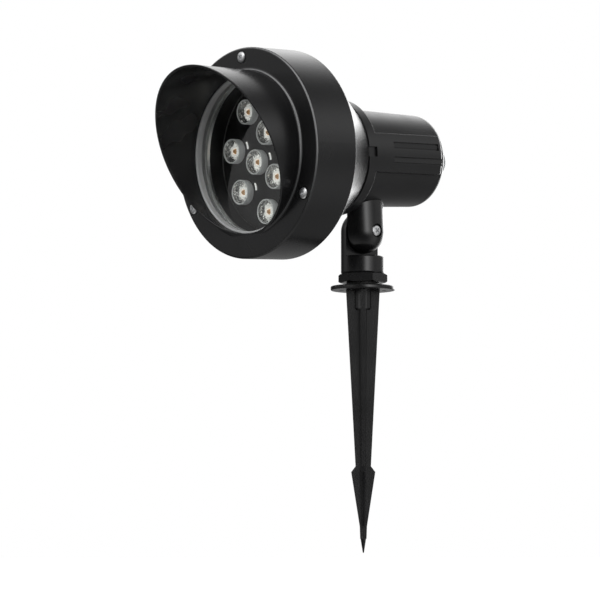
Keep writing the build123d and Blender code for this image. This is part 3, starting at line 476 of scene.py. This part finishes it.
# ------------------------------------------------------------------ surfaces
@dataclass
class Surface:
    """Grids of points, gathered into one mesh.

    Attributes:
        points: Blocks of points in millimetres.
        faces: Blocks of quads that index the whole list of points.
    """

    points: list[np.ndarray] = field(default_factory=list)
    faces: list[np.ndarray] = field(default_factory=list)

    def add_grid(self, grid: np.ndarray, close_u: bool, close_v: bool) -> None:
        """Add a grid of points, with a quad between each four neighbours.

        Args:
            grid: Array of shape (u, v, 3).
            close_u: Whether the last row joins the first.
            close_v: Whether the last column joins the first.
        """
        start = sum(len(block) for block in self.points)
        rows, columns = grid.shape[:2]
        u, v = np.meshgrid(np.arange(rows if close_u else rows - 1),
                           np.arange(columns if close_v else columns - 1), indexing="ij")
        u2, v2 = (u + 1) % rows, (v + 1) % columns
        quads = np.stack([u * columns + v, u2 * columns + v, u2 * columns + v2, u * columns + v2], axis=-1)
        quads = quads.reshape(-1, 4) + start
        self.points.append(grid.reshape(-1, 3))
        self.faces.append(quads)

    def make(self, name: str) -> bpy.types.Object:
        """Write the mesh, weld its seams and poles, and point its faces outwards.

        Args:
            name: The object's name.

        Returns:
            The new object, at the origin, in the scene.
        """
        mesh = bpy.data.meshes.new(name)
        points = np.concatenate(self.points) * MM
        mesh.from_pydata(points.tolist(), [], np.concatenate(self.faces).tolist())
        work = bmesh.new()
        work.from_mesh(mesh)
        bmesh.ops.remove_doubles(work, verts=work.verts, dist=WELD_MM * MM)
        bmesh.ops.dissolve_degenerate(work, dist=SLIVER_MM * MM, edges=work.edges)
        bmesh.ops.recalc_face_normals(work, faces=work.faces)
        work.to_mesh(mesh)
        work.free()
        mesh.shade_smooth()
        piece = bpy.data.objects.new(name, mesh)
        bpy.context.scene.collection.objects.link(piece)
        return piece


@dataclass(frozen=True)
class LampFrame:
    """The lamp's own axis: station 0 is the bezel's face plane, and stations grow rearwards.

    Attributes:
        origin: Point of the axis in the face plane, in millimetres.
        axis: Direction rearwards.
        up: Direction across the lamp, up.
    """

    origin: np.ndarray
    axis: np.ndarray
    up: np.ndarray

    @classmethod
    def from_glass(cls) -> "LampFrame":
        """Read where the axis runs from the middle of the glass, whose station is known.

        Returns:
            The lamp's frame at rest.
        """
        tilt_angle = math.radians(HEAD_TILT)
        axis = np.array([0.0, math.cos(tilt_angle), math.sin(tilt_angle)])
        up = np.array([0.0, -math.sin(tilt_angle), math.cos(tilt_angle)])
        glass_low, glass_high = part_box("front_glass")
        middle = (np.array(glass_low) + np.array(glass_high)) / 2 / MM
        return cls(middle - axis * GLASS_STATION, axis, up)

    def place(self, side: np.ndarray, station: np.ndarray, height: np.ndarray) -> np.ndarray:
        """Carry points from the lamp's frame to the model's.

        Args:
            side: Distances sideways.
            station: Distances behind the bezel's face.
            height: Distances up from the axis.

        Returns:
            Points, with one more dimension of length 3.
        """
        return (self.origin + side[..., None] * ACROSS + station[..., None] * self.axis
                + height[..., None] * self.up)


def ring_grid(lamp: LampFrame, profile: np.ndarray, centre: tuple[float, float], segments: int) -> np.ndarray:
    """Turn a profile about a line that runs along the lamp's axis.

    A point at radius r, station s and angle t lies at (cx + r cos t, s, cz + r sin t).

    Args:
        lamp: The lamp's frame.
        profile: Array (n, 2) of radius and station.
        centre: Side and height of the line.
        segments: Number of steps round.

    Returns:
        Grid (n, segments, 3) in the model's frame.
    """
    angle = np.linspace(0, 2 * np.pi, segments, endpoint=False)
    radius, station = profile[:, :1], profile[:, 1:]
    side = centre[0] + radius * np.cos(angle)
    height = centre[1] + radius * np.sin(angle)
    return lamp.place(side, station + 0 * side, height)


# ------------------------------------------------------------------ studio
@dataclass(frozen=True)
class Glow:
    """A soft round patch of light on the studio's walls.

    Attributes:
        name: What stands there in the studio.
        azimuth, elevation: Where it stands, seen from the object, in degrees.
        spread: Angle from its middle at which it is half as bright, in degrees.
        level: Brightness at its middle.
    """

    name: str
    azimuth: float
    elevation: float
    spread: float
    level: float

    def level_node(self, tree: bpy.types.NodeTree, look: bpy.types.NodeSocket,
                   towards: Vector) -> bpy.types.NodeSocket:
        """Brightness in a direction: level * exp(-k (1 - cos angle)), with k from the spread.

        Args:
            tree: The world's node tree.
            look: Socket of the direction looked in.
            towards: Unit vector to the patch's middle.

        Returns:
            Socket of the brightness.
        """
        fall = math.log(2) / (1 - math.cos(math.radians(self.spread)))
        facing = add_node(tree, "ShaderNodeVectorMath", {0: look, 1: towards}, operation="DOT_PRODUCT")
        power = add_node(tree, "ShaderNodeMath", {0: facing.outputs["Value"], 1: fall, 2: -fall},
                         operation="MULTIPLY_ADD")
        shape = add_node(tree, "ShaderNodeMath", {0: power.outputs[0]}, operation="EXPONENT")
        scaled = add_node(tree, "ShaderNodeMath", {0: shape.outputs[0], 1: self.level}, operation="MULTIPLY")
        return scaled.outputs[0]


GLOWS = (
    Glow("front_softbox", -3.0, 22.0, 16.0, 2.5),
    Glow("front_softbox_top", 3.0, 50.0, 21.5, 1.9),
    Glow("left_fill", -55.0, 22.0, 16.0, 0.8),
    Glow("right_strip_top", 74.0, 22.0, 16.0, 1.6),
    Glow("right_strip", 69.0, 2.0, 9.0, 4.2),
    Glow("right_strip_side", 88.0, -2.0, 12.4, 1.2),
    Glow("right_wall", 125.0, 22.0, 16.0, 0.7),
    Glow("right_wall_rear", 151.0, 22.0, 16.0, 0.6),
    Glow("backdrop_low", 197.0, 2.0, 12.5, 5.2),
    Glow("backdrop", 202.0, 22.0, 16.0, 2.6),
    Glow("backdrop_left", 228.0, 22.0, 16.0, 0.55),
    Glow("backdrop_top", 228.0, 50.0, 21.5, 1.2),
    Glow("floor_rear_left", 228.0, -28.0, 18.2, 0.25),
    Glow("floor_right", 120.0, -28.0, 18.2, 0.75),
    Glow("floor_front_left", -42.0, -65.0, 30.5, 0.55),
    Glow("floor_rear_right", 138.0, -65.0, 30.5, 0.35),
)
BACKDROP_LEVEL = 1.0           # what the camera sees behind the object
FLOOR_GLOW = 0.55              # how far the floor is overexposed


@dataclass
class Studio:
    """Camera, backdrop light, softboxes and floor.

    Attributes:
        azimuth, elevation, distance: Where the camera stands round its target, in degrees and millimetres.
        target: Point at the middle of the picture.
        sensor: Width of the sensor.
        lens: Focal length.
        near, far: Nearest and farthest that the camera sees, in metres.
        floor_drop: Floor below the lowest point of the model.
        floor_half: Half the width of the floor, in metres.
        floor_colour: Colour of the floor, sRGB hex.
        floor_roughness: Roughness of the floor.
    """

    azimuth: float = 47.9
    elevation: float = -5.2
    distance: float = 2069.0
    target: tuple[float, float, float] = (-31.3, -33.7, -6.9)
    sensor: float = 36.0
    lens: float = 169.7
    near: float = 0.05
    far: float = 60.0
    floor_drop: float = 9.0
    floor_half: float = 9.0
    floor_colour: str = "f2f2f2"
    floor_roughness: float = 0.9

    def direction(self, azimuth: float, elevation: float) -> Vector:
        """Unit vector from the object towards a place in the studio.

        Args:
            azimuth: Degrees round from the front, towards +X.
            elevation: Degrees up.

        Returns:
            The vector.
        """
        a, e = math.radians(azimuth), math.radians(elevation)
        return Vector((math.sin(a) * math.cos(e), -math.cos(a) * math.cos(e), math.sin(e)))

    def camera(self) -> None:
        """Stand the camera where the photograph was taken from."""
        data = bpy.data.cameras.new("camera")
        data.lens = self.lens
        data.sensor_width = self.sensor
        data.clip_start, data.clip_end = self.near, self.far
        piece = bpy.data.objects.new("camera", data)
        bpy.context.scene.collection.objects.link(piece)
        back = self.direction(self.azimuth, self.elevation)
        piece.location = Vector(self.target) * MM + back * self.distance * MM
        piece.rotation_euler = (-back).to_track_quat("-Z", "Y").to_euler()
        bpy.context.scene.camera = piece

    def world(self) -> None:
        """Light the studio with soft patches of light; what the camera sees behind the object is white."""
        world = bpy.data.worlds.new("studio")
        bpy.context.scene.world = world
        world.use_nodes = True
        tree = world.node_tree
        tree.nodes.clear()
        look = add_node(tree, "ShaderNodeTexCoord").outputs["Generated"]
        total = None
        for glow in GLOWS:
            level = glow.level_node(tree, look, self.direction(glow.azimuth, glow.elevation))
            total = level if total is None else add_node(
                tree, "ShaderNodeMath", {0: total, 1: level}, operation="ADD").outputs[0]
        path = add_node(tree, "ShaderNodeLightPath")
        seen = add_node(tree, "ShaderNodeMix",
                        {0: path.outputs["Is Camera Ray"], 2: total, 3: BACKDROP_LEVEL})
        light = add_node(tree, "ShaderNodeBackground",
                         {"Color": linear("ffffff"), "Strength": seen.outputs[0]})
        out = add_node(tree, "ShaderNodeOutputWorld")
        tree.links.new(light.outputs[0], out.inputs["Surface"])

    def floor(self) -> None:
        """Lay a wide pale floor under the point of the spike.

        Only the camera sees it: its bounce light is one of the studio's glows.
        """
        level = cad_low.z - self.floor_drop * MM
        half = self.floor_half
        mesh = bpy.data.meshes.new("floor")
        corners = [(-half, -half, level), (half, -half, level), (half, half, level), (-half, half, level)]
        mesh.from_pydata(corners, [], [(0, 1, 2, 3)])
        piece = bpy.data.objects.new("floor", mesh)
        bpy.context.scene.collection.objects.link(piece)
        material = bpy.data.materials.new("pale_floor")
        material.use_nodes = True
        tree = material.node_tree
        shader = tree.nodes["Principled BSDF"]
        shader.inputs["Base Color"].default_value = linear(self.floor_colour)
        shader.inputs["Roughness"].default_value = self.floor_roughness
        shader.inputs["Emission Color"].default_value = linear("ffffff")
        shader.inputs["Emission Strength"].default_value = FLOOR_GLOW
        hidden = add_node(tree, "ShaderNodeBsdfTransparent")
        path = add_node(tree, "ShaderNodeLightPath")
        mixed = add_node(tree, "ShaderNodeMixShader",
                         {0: path.outputs["Is Camera Ray"], 1: hidden.outputs[0], 2: shader.outputs[0]})
        tree.links.new(mixed.outputs[0], tree.nodes["Material Output"].inputs["Surface"])
        mesh.materials.append(material)

    def build(self) -> None:
        """Set up the whole studio."""
        bpy.context.scene.view_settings.view_transform = "Standard"
        self.camera()
        self.world()
        self.floor()


# ------------------------------------------------------------------ lenses
@dataclass(frozen=True)
class LensSizes:
    """Sizes of one lens and its holder, in millimetres.

    Attributes:
        front: Station of the holder's front edge.
        rear: Station of the plate's front face.
        radius: Outside of the holder.
        wall: Thickness of the holder.
        foot_front: Station of the white foot's front face.
        foot_half: Half the width of the square foot.
        foot_opening: Half the width of the opening over the LED.
        bead_radius: Radius of the phosphor dome.
        bead_front: Station of the dome's top.
        segments: Steps round a lens.
        seat_gap: Gap to the plate, so that no two faces coincide.
        edge_round: Rounding of the holder's front edge.
        cone_gap: Gap between the mirror wall and the holder.
        cone_setback: Mirror wall's front behind the holder's front edge.
        cone_lift: Mirror wall's rear ahead of the plate.
        cone_margin: Mirror wall's rear outside the foot.
        cone_power: How fast the mirror wall draws in; 1 is a plain cone.
        window_setback: Middle of the window behind the holder's front edge.
        window_dome: How far the window's rim lies behind its middle.
        foot_round: Rounding of the foot's front edges.
        foot_corners: Corner radii of the foot's opening and of its outside.
        foot_corner_step: How far these change over the rounding.
    """

    front: float
    rear: float
    radius: float
    wall: float = 1.0
    foot_front: float = 24.7
    foot_half: float = 3.7
    foot_opening: float = 2.3
    bead_radius: float = 2.25
    bead_front: float = 23.9
    segments: int = 64
    seat_gap: float = 0.02
    edge_round: float = 0.25
    cone_gap: float = 0.05
    cone_setback: float = 0.5
    cone_lift: float = 0.1
    cone_margin: float = 0.4
    cone_power: float = 1.3
    window_setback: float = 0.15
    window_dome: float = 0.35
    foot_round: float = 0.3
    foot_corners: tuple[float, float] = (1.2, 1.6)
    foot_corner_step: float = 0.1

    def holder_profile(self) -> np.ndarray:
        """Radius and station round the holder's wall.

        Returns:
            Array (6, 2), a closed loop.
        """
        outside, inside = self.radius, self.radius - self.wall
        soft, seat = self.edge_round, self.rear - self.seat_gap
        return np.array([
            (inside, seat), (inside, self.front + soft), (inside + soft, self.front),
            (outside - soft, self.front), (outside, self.front + soft), (outside, seat)])

    def cone_profile(self) -> np.ndarray:
        """Radius and station of the collimator's mirror wall, from the holder's edge to the foot.

        The radius falls by the share of the depth to a power.

        Returns:
            Array (9, 2).
        """
        lip = self.radius - self.wall - self.cone_gap
        foot = self.foot_half + self.cone_margin
        front, rear = self.front + self.cone_setback, self.rear - self.cone_lift
        share = np.linspace(0, 1, 9)
        radius = lip + (foot - lip) * share ** self.cone_power
        return np.stack([radius, front + (rear - front) * share], axis=-1)

    def window_profile(self) -> np.ndarray:
        """Radius and station of the collimator's clear front face, a shallow paraboloid.

        Returns:
            Array (7, 2).
        """
        lip = self.radius - self.wall
        share = np.linspace(0, 1, 7)
        station = self.front + self.window_setback + self.window_dome * share ** 2
        return np.stack([lip * share, station], axis=-1)

    def bead_profile(self, base: float) -> np.ndarray:
        """Radius and station of the phosphor dome, a quarter of an ellipse from its top to its base.

        Args:
            base: Station of its base.

        Returns:
            Array (11, 2), whose last point closes the base.
        """
        turn = np.linspace(0, np.pi / 2, 10)
        station = base - (base - self.bead_front) * np.cos(turn)
        dome = np.stack([self.bead_radius * np.sin(turn), station], axis=-1)
        return np.concatenate([dome, [(0.0, base)]])

    def foot_loops(self) -> tuple[np.ndarray, np.ndarray]:
        """Half widths, corner radii and stations of the foot's section, and the angles round it.

        Returns:
            Array (n, 3) round the square ring's section, and the bearings of its steps.
        """
        outside, inside = self.foot_half, self.foot_opening
        soft, seat, front = self.foot_round, self.rear - self.seat_gap, self.foot_front
        inner, outer = self.foot_corners
        section = np.array([
            (inside, inner, seat), (inside, inner, front + soft),
            (inside + soft, inner + self.foot_corner_step, front),
            (outside - soft, outer - self.foot_corner_step, front),
            (outside, outer, front + soft), (outside, outer, seat)])
        return section, np.linspace(0, 2 * np.pi, self.segments, endpoint=False)


def square_grid(lamp: LampFrame, section: np.ndarray, bearing: np.ndarray,
                centre: tuple[float, float]) -> np.ndarray:
    """Sweep a section round a square with rounded corners.

    A superellipse |x|^p + |z|^p = h^p stands for the rounded square, with p from its corner radius.

    Args:
        lamp: The lamp's frame.
        section: Array (n, 3) of half width, corner radius and station.
        bearing: Angles of the steps.
        centre: Side and height of the square's middle.

    Returns:
        Grid (n, steps, 3) in the model's frame.
    """
    half, corner, station = section[:, :1], section[:, 1:2], section[:, 2:]
    power = 2 * half / corner
    cosine, sine = np.cos(bearing), np.sin(bearing)
    reach = half / (np.abs(cosine) ** power + np.abs(sine) ** power) ** (1 / power)
    side = centre[0] + reach * cosine
    height = centre[1] + reach * sine
    return lamp.place(side, station + 0 * side, height)


@dataclass
class LightEngine:
    """The lens holders, collimators, windows, feet, phosphor domes and clips in front of the LEDs.

    Attributes:
        lamp: The lamp's own frame.
        sizes: Sizes of one lens.
        centres: Side and height of each lens, shape (n, 2).
    """

    lamp: LampFrame
    sizes: LensSizes
    centres: np.ndarray

    def revolve_all(self, name: str, profile: np.ndarray, closed: bool) -> bpy.types.Object:
        """One piece that holds the same turned shape at every lens.

        Args:
            name: The piece's name.
            profile: Array (n, 2) of radius and station.
            closed: Whether the profile is a loop.

        Returns:
            The piece.
        """
        surface = Surface()
        for centre in self.centres:
            grid = ring_grid(self.lamp, profile, tuple(centre), self.sizes.segments)
            surface.add_grid(grid, close_u=closed, close_v=True)
        return surface.make(name)

    def feet(self) -> bpy.types.Object:
        """The white square feet that carry the collimators over the LEDs.

        Returns:
            One piece with a foot at every lens.
        """
        section, bearing = self.sizes.foot_loops()
        surface = Surface()
        for centre in self.centres:
            grid = square_grid(self.lamp, section, bearing, tuple(centre))
            surface.add_grid(grid, close_u=True, close_v=True)
        return surface.make("lens_feet")

    def clips(self) -> bpy.types.Object:
        """A small upright clip on the plate beside each holder, part of a ring about its lens.

        Returns:
            One piece with a clip at every lens.
        """
        surface = Surface()
        bearing = np.radians(np.linspace(*CLIP_BEARINGS, CLIP_STEPS))
        inside, outside = CLIP_RADII
        rear, front = self.sizes.rear - self.sizes.seat_gap, self.sizes.rear - CLIP_HEIGHT
        section = np.array([(inside, rear), (inside, front), (outside, front), (outside, rear)])
        radius, station = section[:, :1], section[:, 1:]
        for centre in self.centres:
            side = centre[0] + radius * np.cos(bearing)
            height = centre[1] + radius * np.sin(bearing)
            grid = self.lamp.place(side, station + 0 * side, height)
            surface.add_grid(grid, close_u=True, close_v=False)
            for end in (0, -1):
                cap = grid[:, end].reshape(2, 2, 3)
                cap[1] = cap[1, ::-1]
                surface.add_grid(cap, close_u=False, close_v=False)
        return surface.make("plate_clips")

    def build(self, dresser: Dresser) -> None:
        """Make the pieces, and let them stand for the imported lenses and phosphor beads.

        Args:
            dresser: What puts finishes on pieces.
        """
        holders = self.revolve_all("lens_holders", self.sizes.holder_profile(), closed=True)
        cones = self.revolve_all("collimators", self.sizes.cone_profile(), closed=False)
        windows = self.revolve_all("lens_windows", self.sizes.window_profile(), closed=False)
        beads = self.revolve_all("phosphor_domes", self.sizes.bead_profile(BEAD_BASE), closed=False)
        feet = self.feet()
        clips = self.clips()
        dresser.dress(holders, "clear_acrylic", FROSTED)
        dresser.dress(cones, "clear_acrylic", MIRROR_WALL)
        dresser.dress(windows, "clear_acrylic")
        # the phosphor domes, feet and clips glow with the painted light of their finishes
        dresser.dress(beads, "amber_phosphor")
        dresser.dress(feet, "white_ceramic")
        dresser.dress(clips, "white_ceramic")
        for piece in (holders, cones, windows, beads, feet, clips):
            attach(piece, "head")
            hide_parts("led_chips" if piece is beads else "led_lenses")


@dataclass(frozen=True)
class LensRing:
    """A ring of lenses about the lamp's axis.

    Attributes:
        radius: Radius of the circle of centres.
        count: Number of lenses.
        bearing: Bearing of the first, from +X towards up, in degrees.
    """

    radius: float
    count: int
    bearing: float

    def centres(self) -> np.ndarray:
        """Side and height of each lens, shape (count, 2)."""
        angle = np.radians(self.bearing) + 2 * np.pi * np.arange(self.count) / self.count
        return self.radius * np.stack([np.cos(angle), np.sin(angle)], axis=-1)


LENS_RINGS = (LensRing(41.0, 8, 36.0), LensRing(16.7, 4, 13.5))


def engine() -> LightEngine:
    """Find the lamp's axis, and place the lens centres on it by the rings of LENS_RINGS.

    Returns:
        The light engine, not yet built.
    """
    centres = np.concatenate([ring.centres() for ring in LENS_RINGS])
    sizes = LensSizes(front=PLATE_STATION - LENS_HEIGHT, rear=PLATE_STATION, radius=LENS_RADIUS)
    return LightEngine(LampFrame.from_glass(), sizes, centres)


def main() -> None:
    """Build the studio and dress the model."""
    logging.basicConfig(level=logging.INFO)
    Studio().build()
    dresser = Dresser()
    dresser.dress_nodes()
    engine().build(dresser)


if __name__ == "__main__":
    main()
